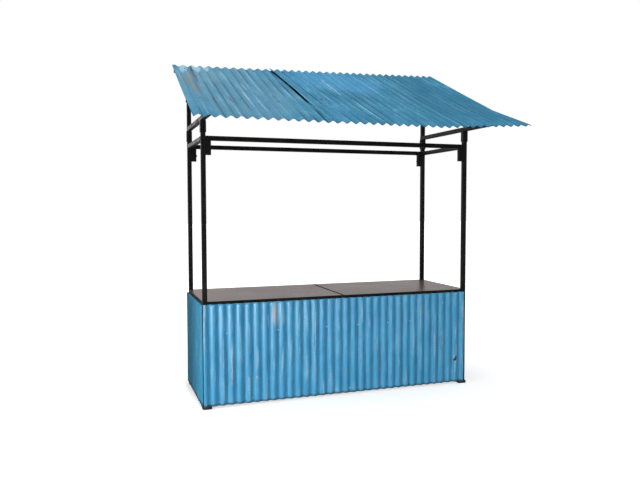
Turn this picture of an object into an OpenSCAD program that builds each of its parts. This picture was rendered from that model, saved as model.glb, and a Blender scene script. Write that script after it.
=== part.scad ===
// Market stall: a square-tube steel frame with corrugated sheet round the
// base, two counter boards in a steel edge and a single-pitch sheet roof.
// Millimetres, +Z up. Customers stand on the -Y side.

/* [Frame] */
// Width over the posts
stall_w = 2584; // [1800:1:3600]
// Depth over the posts
stall_d = 888; // [600:1:1400]
// Side of the square post, rail and beam tube
tube_w = 40; // [30:1:60]
// Wall of every square tube
tube_wall = 2; // [1.5:0.5:4]
// Outer corner radius of every square tube
tube_r = 4; // [2:0.5:8]
// Top of the head beams that tie the posts together
head_top = 2352; // [1900:1:2600]

/* [Feet and base rails] */
// Height of the foot pads
foot_h = 25; // [10:1:60]
// Side of the square foot pads
foot_w = 80; // [60:1:140]
// How far a pad stands out past its post
foot_out = 8; // [0:1:20]
// Underside of the bottom rails
bottom_rail_z = 50; // [30:1:150]
// Underside of the rails half way up the base
mid_rail_z = 640; // [300:1:750]

/* [Counter] */
// Counter height
counter_h = 936; // [800:1:1100]
// Height of the steel edge round the boards
edge_h = 31; // [20:1:60]
// Width of the ledge that carries the boards
edge_ledge = 30; // [20:1:50]
// Thickness of the steel edge
edge_t = 3; // [2:0.5:6]
// Joint between the two boards
board_joint = 13; // [0.5:0.5:20]
// Room round the boards and round the posts that pass through them
board_room = 1; // [0.5:0.5:4]

/* [Corrugated sheet] */
// Distance from crest to crest
wave_pitch = 76.6; // [60:0.1:130]
// Depth of the profile, from the back of a trough to the front of a crest
wave_depth = 18; // [10:1:35]
// Thickness of the steel
sheet_t = 1; // [0.6:0.1:2]
// Room between two sheets where they lap
lap_room = 0.2; // [0.1:0.1:1]
// Width of a lap between two sheets
lap = 38; // [20:1:150]
// Distance of the first front crest from the left post's outer face
front_phase = 15; // [0:1:76]
// Distance of the first crest of a side sheet from the front posts' face
side_phase = 45; // [0:1:76]
// Left edge of the right front sheet, from the left post's outer face
front_seam = 1345; // [700:1:1900]
// Strip of the right post left bare at the end of the front sheets
front_bare = 19; // [0:1:40]
// Strip of the front post left bare beside each side sheet
side_bare = 21; // [0:1:60]
// How far the standing sheets reach up in front of the steel edge
sheet_up = 7; // [0:1:15]

/* [Head frame] */
// Width of the corner stubs under the head beams
stub_w = 46; // [30:1:80]
// Height of the corner stubs
stub_h = 119; // [60:1:240]
// Side of the sockets over the post tops
socket_w = 50; // [44:1:80]
// Height of the sockets
socket_h = 99; // [50:1:160]
// Room between a post and its socket
socket_room = 0.5; // [0.2:0.1:2]
// Length of bare post between the head beams and the sockets
socket_gap = 29; // [5:1:80]
// How far a post reaches into its socket
post_in = 70; // [20:1:90]
// Reach of the canopy bars in front of the posts
bar_reach = 450; // [380:1:650]

/* [Roof] */
// Reach of the eave in front of the posts
eave_reach = 754; // [600:1:900]
// Reach of the roof behind the posts
rear_reach = 121; // [40:1:250]
// Height of the sheets' middle surface along the eave over the head beams
eave_over = 62; // [40:1:150]
// Rise of the roof over the left posts
rise_left = 724; // [600:1:850]
// Rise of the roof over the right posts
rise_right = 790; // [600:1:850]
// Sag of the sheets half way up
roof_sag = 6; // [0:1:40]
// Overhang at the left end of the eave
eave_left = 170; // [20:1:300]
// Overhang at the right end of the eave
eave_right = 167; // [20:1:300]
// Overhang at the left end of the rear edge
rear_left = 118; // [20:1:300]
// Overhang at the right end of the rear edge
rear_right = 131; // [20:1:300]
// Distance of the first roof crest from the roof's left edge
roof_phase = 28; // [0:1:76]
// Left edge of the middle roof sheet, from the roof's left edge
seam_left = 1045; // [700:1:1200]
// Right edge of the middle roof sheet, from the roof's left edge
seam_right = 2014; // [1700:1:2300]
// How far the right corner of the eave is bent up
corner_lift = 45; // [0:1:80]
// Side of the square tube of rafters and purlins
purlin_w = 30; // [20:1:40]
// Distance of the front purlin in front of the posts
purlin_reach = 220; // [150:1:240]
// Distance of the purlin ends inside the roof edge
purlin_inset = 5; // [0:1:60]
// Room left by the welds under purlins and sheets
seat = 0.4; // [0.2:0.1:0.8]

/* [Hidden] */
steps_per_wave = 8;
steps_per_corner = 3;
roof_rows = 6;

black = [0.13, 0.13, 0.135];
blue = [0.30, 0.58, 0.76];
roof_blue = [0.33, 0.55, 0.68];
board_grey = [0.55, 0.51, 0.49];

span_x = stall_w - 2 * tube_w;
span_y = stall_d - 2 * tube_w;
rear_post_y = stall_d - tube_w;
right_post_x = stall_w - tube_w;
post_corners = [[0, 0], [right_post_x, 0], [0, rear_post_y], [right_post_x, rear_post_y]];

counter_low = counter_h - edge_h;
top_rail_z = counter_low - tube_w;
ledge_top = counter_low + edge_t;

head_z = head_top - tube_w;
socket_z = head_top + socket_gap;
bar_z = socket_z + socket_h;
bar_top = bar_z + tube_w;
post_top = socket_z + post_in;

eave_z = head_top + eave_over;
eave_y = -eave_reach;
rear_y = stall_d + rear_reach;
roof_run = rear_y - eave_y;
roof_w = stall_w + (eave_left + eave_right + rear_left + rear_right) / 2;
roof_waves = round(roof_w / wave_pitch);
front_purlin_y = -purlin_reach;
rear_purlin_y = rear_post_y + tube_w / 2;
left_x = tube_w / 2;
right_x = stall_w - tube_w / 2;

// Share of the way from the eave to the rear edge
function roof_s(y) = (y - eave_y) / roof_run;

// The sheets fan out a little towards the eave. Their ends stay square to
// their sides, so a place u across the roof shifts along Y by roof_skew.
turn_left = (rear_left - eave_left) / roof_run;
turn_right = (eave_right - rear_right) / roof_run;
function roof_skew(u) = roof_w * u * (turn_left + (turn_right - turn_left) * u / 2);
skews = [for (i = [0:roof_waves * steps_per_wave])
    roof_skew(i / roof_waves / steps_per_wave)];

// The origin is the middle of the part's box at floor level
origin_x = (stall_w + max(eave_right, rear_right) - max(eave_left, rear_left)) / 2;
origin_y = (eave_y + min(skews) + rear_y + max(skews)) / 2;

// Rise of the roof over a place along the front
function roof_rise(x) = rise_left + (rise_right - rise_left) * x / stall_w;

// Middle surface of the roof sheets
function roof_z(x, y) =
    eave_z + roof_rise(x) * roof_s(y) - 4 * roof_sag * roof_s(y) * (1 - roof_s(y));

// Slope of the sheets at half width, in degrees
function roof_angle(y) =
    atan(((rise_left + rise_right) / 2 - 4 * roof_sag * (1 - 2 * roof_s(y))) / roof_run);

function mix(a, b, t) = a + (b - a) * t;

// Place across the roof, with u from the left edge to the right one
function roof_x(u, s) = mix(
    mix(-eave_left, stall_w + eave_right, u), mix(-rear_left, stall_w + rear_right, u), s);

// Lift of the bent eave corner, from nothing at the front purlin and seam
function corner_bend(u, y) =
    corner_lift * max(0, mix(1, 0, roof_s(y) / roof_s(front_purlin_y)))
    * max(0, (u - seam_right / roof_w) / (1 - seam_right / roof_w));

roof_lean = cos(roof_angle((eave_y + rear_y) / 2));
roof_wave = (wave_depth - sheet_t) / 2 / roof_lean;
roof_t = sheet_t / roof_lean;

// Top of a purlin, just under the troughs of the lower sheets
function purlin_top(x, y) = roof_z(x, y) - roof_wave - roof_t / 2 - seat;

// Top of a rafter: a straight line under both purlins
function under_purlin(x, y) = purlin_top(x, y) - purlin_w / cos(roof_angle(y)) - seat;
function rafter_slope(x) =
    (under_purlin(x, rear_purlin_y) - under_purlin(x, front_purlin_y))
    / (rear_purlin_y - front_purlin_y);
function rafter_top(x, y) =
    under_purlin(x, front_purlin_y) + rafter_slope(x) * (y - front_purlin_y);
function rafter_angle(x) = atan(rafter_slope(x));
function rafter_low(x, y) = rafter_top(x, y) - purlin_w / cos(rafter_angle(x));

// Moves a piece from the post corner to the part's own origin
module on_stall() {
    translate([-origin_x, -origin_y, 0]) children();
}

// Rounded rectangle from its lower left corner
module rounded(plan, r) {
    turn = 90 / steps_per_corner;
    centres = [[plan.x - r, plan.y - r], [r, plan.y - r], [r, r], [plan.x - r, r]];
    polygon([for (q = [0:3], k = [0:steps_per_corner])
        let (a = 90 * q + turn * k) centres[q] + r * [cos(a), sin(a)]]);
}

// Upright tube, from its lower front left corner
module tube_z(length, plan = [tube_w, tube_w], wall = tube_wall) {
    linear_extrude(length) difference() {
        rounded(plan, tube_r);
        translate([wall, wall]) square([plan.x - 2 * wall, plan.y - 2 * wall]);
    }
}

// Square tubes along X and along Y, from the lower front left corner
module tube_x(length, side = tube_w) {
    rotate([90, 0, 90]) tube_z(length, [side, side]);
}

module tube_y(length, side = tube_w) {
    translate([0, length, 0]) rotate([90, 0, 0]) tube_z(length, [side, side]);
}

module post(x, y) {
    color(black) on_stall() translate([x, y, foot_h]) tube_z(post_top - foot_h);
}

module rail_x(y, z) {
    color(black) on_stall() translate([tube_w, y, z]) tube_x(span_x);
}

module rail_y(x, z) {
    color(black) on_stall() translate([x, tube_w, z]) tube_y(span_y);
}

module foot_pads() {
    color(black) on_stall()
        for (x = [-foot_out, stall_w + foot_out - foot_w],
             y = [-foot_out, stall_d + foot_out - foot_w])
            translate([x, y, 0]) linear_extrude(foot_h) rounded([foot_w, foot_w], tube_r);
}

module post_front_left() { post(0, 0); }
module post_front_right() { post(right_post_x, 0); }
module post_rear_left() { post(0, rear_post_y); }
module post_rear_right() { post(right_post_x, rear_post_y); }

module bottom_rail_front() { rail_x(0, bottom_rail_z); }
module bottom_rail_rear() { rail_x(rear_post_y, bottom_rail_z); }
module bottom_rail_left() { rail_y(0, bottom_rail_z); }
module bottom_rail_right() { rail_y(right_post_x, bottom_rail_z); }

module mid_rail_front() { rail_x(0, mid_rail_z); }
module mid_rail_left() { rail_y(0, mid_rail_z); }
module mid_rail_right() { rail_y(right_post_x, mid_rail_z); }

module top_rail_front() { rail_x(0, top_rail_z); }
module top_rail_rear() { rail_x(rear_post_y, top_rail_z); }
module top_rail_left() { rail_y(0, top_rail_z); }
module top_rail_right() { rail_y(right_post_x, top_rail_z); }
module top_rail_middle() { rail_y((stall_w - tube_w) / 2, top_rail_z); }

// Offset of a sheet's middle line from its plane
function wave(d, phase) = (wave_depth - sheet_t) / 2 * cos(360 * (d - phase) / wave_pitch);

// Corrugated sheet standing on the floor plan, with its crests towards -Y
// and the backs of its troughs on y = 0
module standing_sheet(from, to, phase) {
    steps = ceil((to - from) / wave_pitch * steps_per_wave);
    line = [for (i = [0:steps]) let (d = mix(from, to, i / steps))
        [d, -wave_depth / 2 - wave(d, phase)]];
    face = [for (p = line) p - [0, sheet_t / 2]];
    back = [for (i = [steps:-1:0]) line[i] + [0, sheet_t / 2]];
    translate([0, 0, foot_h])
        linear_extrude(counter_low + sheet_up - foot_h) polygon(concat(face, back));
}

module front_sheet_left() {
    color(blue) on_stall()
        standing_sheet(0, front_seam + lap, front_phase);
}

module front_sheet_right() {
    color(blue) on_stall() translate([0, -sheet_t - lap_room, 0])
        standing_sheet(front_seam, stall_w - front_bare, front_phase);
}

module side_sheet_left() {
    color(blue) on_stall() rotate(-90) mirror([1, 0, 0])
        standing_sheet(side_bare, stall_d, side_phase);
}

module side_sheet_right() {
    color(blue) on_stall() translate([stall_w, 0, 0]) rotate(90)
        standing_sheet(side_bare, stall_d, side_phase);
}

// Block through the counter at each post, with room round it
module post_holes(low, high, room) {
    for (corner = post_corners)
        translate([corner.x - room, corner.y - room, low])
            cube([tube_w + 2 * room, tube_w + 2 * room, high - low]);
}

// Angle strips between the posts, flush with them and resting on the top rails
module counter_edge() {
    color(black) on_stall() difference() {
        translate([0, 0, counter_low]) cube([stall_w, stall_d, edge_h]);
        translate([edge_t, edge_t, ledge_top])
            cube([stall_w - 2 * edge_t, stall_d - 2 * edge_t, edge_h]);
        translate([edge_ledge, edge_ledge, counter_low - 1])
            cube([stall_w - 2 * edge_ledge, stall_d - 2 * edge_ledge, edge_h]);
        post_holes(counter_low - 1, counter_h + 1, seat);
    }
}

// Board between two places along the front, notched round the posts
module counter_board(from, to) {
    inset = edge_t + board_room;
    color(board_grey) on_stall() difference() {
        translate([from, inset, ledge_top])
            cube([to - from, stall_d - 2 * inset, counter_h - ledge_top]);
        post_holes(ledge_top - 1, counter_h + 1, board_room);
    }
}

module counter_board_left() {
    counter_board(edge_t + board_room, (stall_w - board_joint) / 2);
}

module counter_board_right() {
    counter_board((stall_w + board_joint) / 2, stall_w - edge_t - board_room);
}

module head_beam_front() { rail_x(0, head_z); }
module head_beam_rear() { rail_x(rear_post_y, head_z); }
module head_beam_left() { rail_y(0, head_z); }
module head_beam_right() { rail_y(right_post_x, head_z); }

module corner_stubs() {
    color(black) on_stall()
        for (x = [tube_w, right_post_x - stub_w], y = [0, rear_post_y])
            translate([x, y, head_z - stub_h]) tube_z(stub_h, [stub_w, tube_w]);
}

module post_sockets() {
    bore = tube_w + 2 * socket_room;
    out = (socket_w - tube_w) / 2;
    color(black) on_stall()
        for (corner = post_corners)
            translate([corner.x - out, corner.y - out, socket_z])
                tube_z(socket_h, [socket_w, socket_w], (socket_w - bore) / 2);
}

module canopy_bar(x) {
    color(black) on_stall() translate([x, -bar_reach, bar_z]) tube_y(stall_d + bar_reach);
}

module canopy_bar_left() { canopy_bar(0); }
module canopy_bar_right() { canopy_bar(right_post_x); }

// Post from a canopy bar to the underside of its rafter
module upright(x) {
    top = rafter_low(x, stall_d);
    color(black) on_stall() difference() {
        translate([x - tube_w / 2, rear_post_y, bar_top]) tube_z(top - bar_top);
        translate([x - tube_w, stall_d, top]) rotate([rafter_angle(x), 0, 0])
            translate([0, -2 * tube_w, 0]) cube([2 * tube_w, 3 * tube_w, tube_w]);
    }
}

module upright_left() { upright(left_x); }
module upright_right() { upright(right_x); }

// Sloping tube from its foot on a canopy bar to the back of its upright
module rafter(x) {
    color(black) on_stall() intersection() {
        translate([x - purlin_w / 2, -bar_reach, rafter_top(x, -bar_reach)])
            rotate([rafter_angle(x), 0, 0]) translate([0, 0, -purlin_w])
            tube_y((stall_d + bar_reach + tube_w) / cos(rafter_angle(x)), purlin_w);
        translate([x - purlin_w, -bar_reach, bar_top])
            cube([2 * purlin_w, stall_d + bar_reach, rafter_top(x, rear_y) - bar_top]);
    }
}

module rafter_left() { rafter(left_x); }
module rafter_right() { rafter(right_x); }

// Tube along the roof, tilted with the sheets that it carries
module purlin(y) {
    from = roof_x(0, roof_s(y)) + purlin_inset;
    to = roof_x(1, roof_s(y)) - purlin_inset;
    lift = purlin_top(to, y) - purlin_top(from, y);
    color(black) on_stall()
        translate([from, y, purlin_top(from, y)])
        rotate([roof_angle(y), -atan(lift / (to - from)), 0])
        translate([0, -purlin_w / 2, -purlin_w])
            tube_x(norm([to - from, lift]), purlin_w);
}

module purlin_front() { purlin(front_purlin_y); }
module purlin_rear() { purlin(rear_purlin_y); }

// Corrugated roof sheet between two distances from the roof's left edge. Its
// middle surface follows the twisted, sagging roof, and lift raises a sheet
// that laps over another.
module roof_sheet(from, to, lift) {
    cols = ceil((to - from) / roof_w * roof_waves * steps_per_wave);
    rows = roof_rows;
    row = cols + 1;
    side = row * (rows + 1);
    points = [for (half = [1, -1], j = [0:rows], i = [0:cols])
        let (u = mix(from, to, i / cols) / roof_w, s = j / rows,
             x = roof_x(u, s), y = eave_y + s * roof_run + roof_skew(u),
             crest = cos(360 * roof_waves * (u - roof_phase / roof_w)))
        [x, y, roof_z(x, y) + corner_bend(u, y) + lift + roof_wave * crest
            + half * roof_t / 2]];
    top = [for (j = [0:rows - 1], i = [0:cols - 1]) let (a = j * row + i)
        each [[a, a + row, a + row + 1], [a, a + row + 1, a + 1]]];
    bottom = [for (t = top) [t[2] + side, t[1] + side, t[0] + side]];
    // Places round the rim of the top surface, in order
    rim = concat(
        [for (i = [0:cols - 1]) i], [for (j = [0:rows - 1]) j * row + cols],
        [for (i = [cols:-1:1]) rows * row + i], [for (j = [rows:-1:1]) j * row]);
    edges = [for (k = [0:len(rim) - 1])
        let (a = rim[k], b = rim[(k + 1) % len(rim)])
        each [[a, b, b + side], [a, b + side, a + side]]];
    color(roof_blue) on_stall() polyhedron(points, concat(top, bottom, edges));
}

module roof_sheet_left() { roof_sheet(0, seam_left + lap, 0); }
module roof_sheet_middle() { roof_sheet(seam_left, seam_right, roof_t + lap_room); }
module roof_sheet_right() { roof_sheet(seam_right - lap, roof_w, 0); }

foot_pads();
post_front_left();
post_front_right();
post_rear_left();
post_rear_right();
bottom_rail_front();
bottom_rail_rear();
bottom_rail_left();
bottom_rail_right();
mid_rail_front();
mid_rail_left();
mid_rail_right();
top_rail_front();
top_rail_rear();
top_rail_left();
top_rail_right();
top_rail_middle();
front_sheet_left();
front_sheet_right();
side_sheet_left();
side_sheet_right();
counter_edge();
counter_board_left();
counter_board_right();
head_beam_front();
head_beam_rear();
head_beam_left();
head_beam_right();
corner_stubs();
post_sockets();
canopy_bar_left();
canopy_bar_right();
upright_left();
upright_right();
rafter_left();
rafter_right();
purlin_front();
purlin_rear();
roof_sheet_left();
roof_sheet_middle();
roof_sheet_right();
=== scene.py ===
# %% [markdown]
# # A market stall with a blue corrugated roof
# The stall is a welded frame of black square steel tube. Corrugated sheets, painted blue by hand,
# close the front and the two ends of the base and make the roof, and two brown boards are the counter.
# The CAD model is loaded first. It is the frame of this lesson: its solids stay where they are, get
# finishes, and some of them are replaced by finer meshes with the same outline.

# %% Load the CAD frame
import math
import random
import bpy
import bmesh
from mathutils import Matrix, Vector, noise


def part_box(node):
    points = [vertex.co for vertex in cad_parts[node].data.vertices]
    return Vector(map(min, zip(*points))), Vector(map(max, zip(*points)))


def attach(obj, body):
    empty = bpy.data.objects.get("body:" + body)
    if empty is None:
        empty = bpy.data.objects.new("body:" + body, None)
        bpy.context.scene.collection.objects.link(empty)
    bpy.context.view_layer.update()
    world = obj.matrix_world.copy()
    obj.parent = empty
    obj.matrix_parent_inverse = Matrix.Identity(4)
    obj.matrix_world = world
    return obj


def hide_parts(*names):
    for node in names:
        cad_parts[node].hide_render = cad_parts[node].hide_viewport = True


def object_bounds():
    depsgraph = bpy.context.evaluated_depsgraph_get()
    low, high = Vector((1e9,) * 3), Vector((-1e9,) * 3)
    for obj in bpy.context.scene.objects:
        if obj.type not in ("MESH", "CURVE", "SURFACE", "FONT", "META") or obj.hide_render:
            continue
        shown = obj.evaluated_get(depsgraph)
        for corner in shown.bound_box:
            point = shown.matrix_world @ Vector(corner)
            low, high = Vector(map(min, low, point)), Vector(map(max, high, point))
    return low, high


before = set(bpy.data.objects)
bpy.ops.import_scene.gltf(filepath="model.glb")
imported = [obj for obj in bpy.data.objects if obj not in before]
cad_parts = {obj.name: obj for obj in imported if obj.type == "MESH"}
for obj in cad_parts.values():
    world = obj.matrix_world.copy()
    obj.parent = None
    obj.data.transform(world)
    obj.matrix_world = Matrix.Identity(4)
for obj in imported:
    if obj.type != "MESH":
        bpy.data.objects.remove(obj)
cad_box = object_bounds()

scene = bpy.context.scene
scene.view_settings.view_transform = "Standard"
print("CAD nodes:", len(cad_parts))

# %% [markdown]
# A stall is easiest to measure from one corner. Here that is the outer face of the front left post, at
# floor level: X runs along the counter, Y goes back and Z goes up. All places below are in metres from it.

# %% Measure from the front left post
post_low, post_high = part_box("post_front_left")
corner = Vector((post_low[0], post_low[1], 0.0))
tube_w = post_high[0] - post_low[0]


def place(x, y, z):
    """A point measured from the stall's front left corner, in the frame of the CAD."""
    return corner + Vector((x, y, z))


stall_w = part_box("post_front_right")[1][0] - corner.x
stall_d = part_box("post_rear_left")[1][1] - corner.y
print("frame of the base: %.3f by %.3f m" % (stall_w, stall_d))

# %% [markdown]
# The photograph was taken from the front, a little left of the stall, at about eye height. The eye point
# and the turn of the camera come from fitting the known corners of the frame to the picture, so the
# camera can be set once and the stall lands where the photograph has it.

# %% Camera
def put_in_scene(name, data):
    made = bpy.data.objects.new(name, data)
    scene.collection.objects.link(made)
    return made


camera = put_in_scene("camera", bpy.data.cameras.new("camera"))
camera.data.sensor_fit = "HORIZONTAL"
camera.data.sensor_width = 36.0
camera.data.lens = 35.995
camera.location = place(-0.8395, -5.4630, 1.7529)
camera.rotation_euler = [math.radians(turn) for turn in (86.985, 0.078, -19.202)]
scene.camera = camera
print("camera at", [round(c, 3) for c in camera.location])

# %% [markdown]
# Shader nodes are made in code all through this lesson. These small helpers keep that short: one adds a
# node and wires its sockets, and the others wrap the nodes that are used most, such as arithmetic and
# stretching a value between two limits.

# %% Helpers for shader nodes
def plug(tree, node, sockets):
    """Gives sockets of a node, by name or number, a value or a link from another node's output."""
    for name, value in sockets.items():
        if isinstance(value, bpy.types.NodeSocket):
            tree.links.new(value, node.inputs[name])
        else:
            node.inputs[name].default_value = value


def put(tree, kind, sockets=None, **settings):
    """Adds a shader node with its settings and sockets."""
    made = tree.nodes.new("ShaderNode" + kind)
    for name, value in settings.items():
        setattr(made, name, value)
    plug(tree, made, sockets or {})
    return made


def maths(tree, operation, a, b=0.0):
    return put(tree, "Math", {0: a, 1: b}, operation=operation).outputs[0]


def times(tree, first, *others):
    for other in others:
        first = maths(tree, "MULTIPLY", first, other)
    return first


def stretch(tree, value, low, high, to_low=0.0, to_high=1.0):
    """Smoothly stretches value between low and high to between to_low and to_high."""
    sockets = {"Value": value, "From Min": low, "From Max": high, "To Min": to_low, "To Max": to_high}
    return put(tree, "MapRange", sockets, interpolation_type="SMOOTHSTEP").outputs["Result"]


def cloud(tree, coords, scale, detail=2.0, roughness=0.5):
    """Soft noise between about 0.2 and 0.8."""
    sockets = {"Vector": coords, "Scale": scale, "Detail": detail, "Roughness": roughness}
    return put(tree, "TexNoise", sockets).outputs[0]


def vector_maths(tree, operation, a, b):
    return put(tree, "VectorMath", {0: a, 1: b}, operation=operation).outputs[0]


def scaled(tree, coords, factors):
    return vector_maths(tree, "MULTIPLY", coords, factors)


def distance(tree, vector):
    return put(tree, "VectorMath", {0: vector}, operation="LENGTH").outputs["Value"]


def axis_of(tree, vector, number):
    """One of a vector's three numbers: 0 is X, 1 is Y and 2 is Z."""
    return put(tree, "SeparateXYZ", {0: vector}).outputs[number]


def object_coords(tree):
    return put(tree, "TexCoord").outputs["Object"]


def bumped(tree, height, strength, depth):
    """A normal that follows a height. It goes into the Normal socket of a shader."""
    return put(tree, "Bump", {"Height": height, "Strength": strength, "Distance": depth}).outputs[0]


print("node helpers ready")

# %% [markdown]
# A finish is built up in layers, as a painter does it: a colour, then another one laid over it where a mask
# lets it through. Colours are written as a painter reads them off a picture, from 0 to 255.

# %% Helpers for colours and materials
def mix_colours(tree, share, first, second):
    return put(tree, "Mix", {0: share, 6: first, 7: second}, data_type="RGBA").outputs[2]


def mix_values(tree, share, first, second):
    return put(tree, "Mix", {0: share, 2: first, 3: second}, data_type="FLOAT").outputs[0]


def lay(tree, colour, over, mask, strength=None):
    """Lays a second colour, over, on the first where the mask is, at the given strength or in full."""
    if strength is not None:
        mask = times(tree, mask, strength)
    return mix_colours(tree, mask, colour, over)


def rgb(red, green, blue):
    """A colour from 0 to 255, turned into Blender's linear values."""
    steps = [c / 255.0 for c in (red, green, blue)]
    return tuple(c / 12.92 if c <= 0.04045 else ((c + 0.055) / 1.055) ** 2.4 for c in steps) + (1.0,)


def new_material(name):
    material = bpy.data.materials.new(name)
    material.use_nodes = True
    return material, material.node_tree, material.node_tree.nodes["Principled BSDF"]


white = (1.0, 1.0, 1.0, 1.0)
print("colour helpers ready")

# %% [markdown]
# The stall stands in a plain studio. A soft lamp low at the left gives each wave of the front a light and a
# dark flank, as in the photograph. It has a narrow spread, like a lamp with a grid, so that it stays off
# the roof, which has its own large lamp above. A small one beside the camera puts a glint on the ridges,
# and weaker lamps lift the right side and the back. The world is a dim grey for light and white for the
# eye, so that the backdrop is white without more light.

# %% World and lamps
ambient_level = 0.45

world = bpy.data.worlds.new("studio")
world.use_nodes = True
scene.world = world
air = world.node_tree
ray = put(air, "LightPath").outputs
seen = maths(air, "MAXIMUM", ray["Is Camera Ray"], ray["Is Glossy Ray"])
seen = maths(air, "MAXIMUM", seen, ray["Is Transmission Ray"])
backdrop_strength = mix_values(air, seen, ambient_level, 1.0)
plug(air, air.nodes["Background"], {"Color": white, "Strength": backdrop_strength})

base_middle = place(stall_w / 2, 0.1, 0.5)
roof_centre = place(stall_w / 2, 0.1, 2.7)


def softbox(name, aim, from_front, height_angle, far_off, side, power, spread=180):
    """A square area lamp that looks at aim. from_front turns it round the stall, to the left if positive."""
    lamp = bpy.data.lights.new(name, "AREA")
    lamp.size = side
    lamp.energy = power
    lamp.spread = math.radians(spread)
    body = put_in_scene(name, lamp)
    turn, rise = math.radians(from_front), math.radians(height_angle)
    way = Vector((-math.sin(turn) * math.cos(rise), -math.cos(turn) * math.cos(rise), math.sin(rise)))
    body.location = aim + far_off * way
    body.rotation_euler = way.to_track_quat("Z", "Y").to_euler()
    body.visible_camera = False
    print(name, "with", power, "W")


softbox("softbox_front_left", base_middle, 64, 2, 7.5, 1.8, 30, 50)
softbox("softbox_strip", base_middle, 14, 4, 7.5, 1.2, 6.5, 50)
softbox("softbox_top", roof_centre, 50, 64, 6.5, 3.5, 245)
softbox("softbox_front_right", base_middle, -55, 25, 8.0, 3.5, 30)
softbox("softbox_back", base_middle, 165, 28, 8.0, 3.5, 70)

# %% [markdown]
# The floor is pale and matt. Near the stall it keeps its shading, so that the soft shadow under the base
# shows, and further away it turns to plain white, where it meets the backdrop without a line.

# %% Floor
def stage_piece(name, points, faces, finish, at, passed_by=()):
    """A flat piece of the studio. passed_by names the kinds of ray that don't meet it."""
    mesh = bpy.data.meshes.new(name)
    mesh.from_pydata(points, [], faces)
    mesh.materials.append(finish)
    piece = put_in_scene(name, mesh)
    piece.location = at
    for kind in passed_by:
        setattr(piece, "visible_" + kind, False)
    print("studio piece:", name)


floor_paint, tree, shader = new_material("floor_paint")
shaded_to, white_from, shaded_glow = 1.4, 3.6, 0.55
glow = stretch(tree, distance(tree, object_coords(tree)), shaded_to, white_from, shaded_glow, 1.0)
glow = times(tree, glow, put(tree, "LightPath").outputs["Is Camera Ray"])
plug(tree, shader, {"Base Color": (0.86, 0.86, 0.86, 1.0), "Roughness": 0.9, "Specular IOR Level": 0.1,
                    "Emission Color": white, "Emission Strength": glow})
reach, below = 60.0, 0.0005
stage_piece("floor", [(-reach, -reach, 0), (reach, -reach, 0), (reach, reach, 0), (-reach, reach, 0)],
            [(0, 1, 2, 3)], floor_paint, (0, 0, -below))

# %% [markdown]
# All round the stall it is white, so every glossy face that looks to the front would mirror white and turn
# grey. Photographers put black cards there. One lies on the floor in front of the stall and one stands
# behind the camera. They show only in reflections: the camera, the light and the shadows pass them.

# %% Black cards for the reflections
card_black, tree, shader = new_material("card_black")
plug(tree, shader, {"Base Color": (0.004, 0.004, 0.004, 1.0), "Roughness": 1.0, "Specular IOR Level": 0.0})
card_left, card_right, card_front, card_back, card_top = -1.0, 12.0, -8.5, -0.25, 6.0
card_points = [(card_left, card_front, 0), (card_right, card_front, 0), (card_right, card_back, 0),
               (card_left, card_back, 0), (card_left, card_front, card_top),
               (card_right, card_front, card_top)]
stage_piece("black_cards", card_points, [(0, 1, 2, 3), (1, 0, 4, 5)], card_black, place(0.0, 0.0, 0.004),
            ("camera", "diffuse", "shadow", "transmission"))

# %% [markdown]
# In the photograph the left end of the base lies in a shade that grows towards the back. Part of it is
# painted shade: the ends get a darker, greyer copy of the front's paint. For the rest a photographer would
# hang a grey net beside the end: a plane that lets part of the light through, less of it at the back.
# Neither the camera nor reflections see it.

# %% Shade net at the left end
shade_net, tree, shader = new_material("shade_net")
tree.nodes.remove(shader)
thick_from, front_share, back_share = 0.75, 0.85, 0.36
passing = stretch(tree, axis_of(tree, object_coords(tree), 1), 0.0, thick_from, front_share, back_share)
grey = put(tree, "CombineColor", {0: passing, 1: passing, 2: passing}).outputs[0]
sieve = put(tree, "BsdfTransparent", {"Color": grey})
plug(tree, tree.nodes["Material Output"], {"Surface": sieve.outputs[0]})
net_front, net_back, net_top, net_off = -0.01, 1.0, 0.93, 0.05
net_points = [(0, net_front, 0), (0, net_back, 0), (0, net_back, net_top), (0, net_front, net_top)]
stage_piece("shade_net", net_points, [(0, 1, 2, 3)], shade_net, place(-net_off, 0.0, 0.0),
            ("camera", "glossy"))

# %% [markdown]
# Some effects come back on several finishes of this stall, so they are node groups. The first is a ragged
# patch: a stain at a known place. It is the distance from the middle of the stain, disturbed by noise that
# is drawn out along the sheet, so that the outline breaks up in streaks.

# %% Node group: ragged patch
def new_group(name, takes, gives):
    """An empty node group with named inputs and outputs."""
    tree = bpy.data.node_groups.new(name, "ShaderNodeTree")
    for label, kind, value in takes:
        socket = tree.interface.new_socket(label, in_out="INPUT", socket_type="NodeSocket" + kind)
        if value is not None:
            socket.default_value = value
    for label, kind in gives:
        tree.interface.new_socket(label, in_out="OUTPUT", socket_type="NodeSocket" + kind)
    print("node group:", name)
    return tree, tree.nodes.new("NodeGroupInput").outputs, tree.nodes.new("NodeGroupOutput")


def use(tree, group, sockets):
    return put(tree, "Group", sockets, node_tree=group).outputs


patch_group, takes, gives = new_group("ragged_patch", [
    ("Coords", "Vector", None), ("Centre", "Vector", (0, 0, 0)), ("Half Size", "Vector", (0.1, 0.1, 1)),
    ("Ragged", "Float", 0.6), ("Grain", "Float", 60.0)], [("Mask", "Float")])
tree = patch_group
gap = vector_maths(tree, "SUBTRACT", takes["Coords"], takes["Centre"])
far = distance(tree, vector_maths(tree, "DIVIDE", gap, takes["Half Size"]))
drawn_out = scaled(tree, takes["Coords"], (1.0, 0.2, 1.0))
broken = maths(tree, "SUBTRACT", cloud(tree, drawn_out, takes["Grain"], 4.0, 0.6), 0.5)
far = maths(tree, "ADD", far, times(tree, broken, times(tree, takes["Ragged"], 4.0)))
plug(tree, gives, {"Mask": stretch(tree, far, 1.15, 0.55)})

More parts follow.
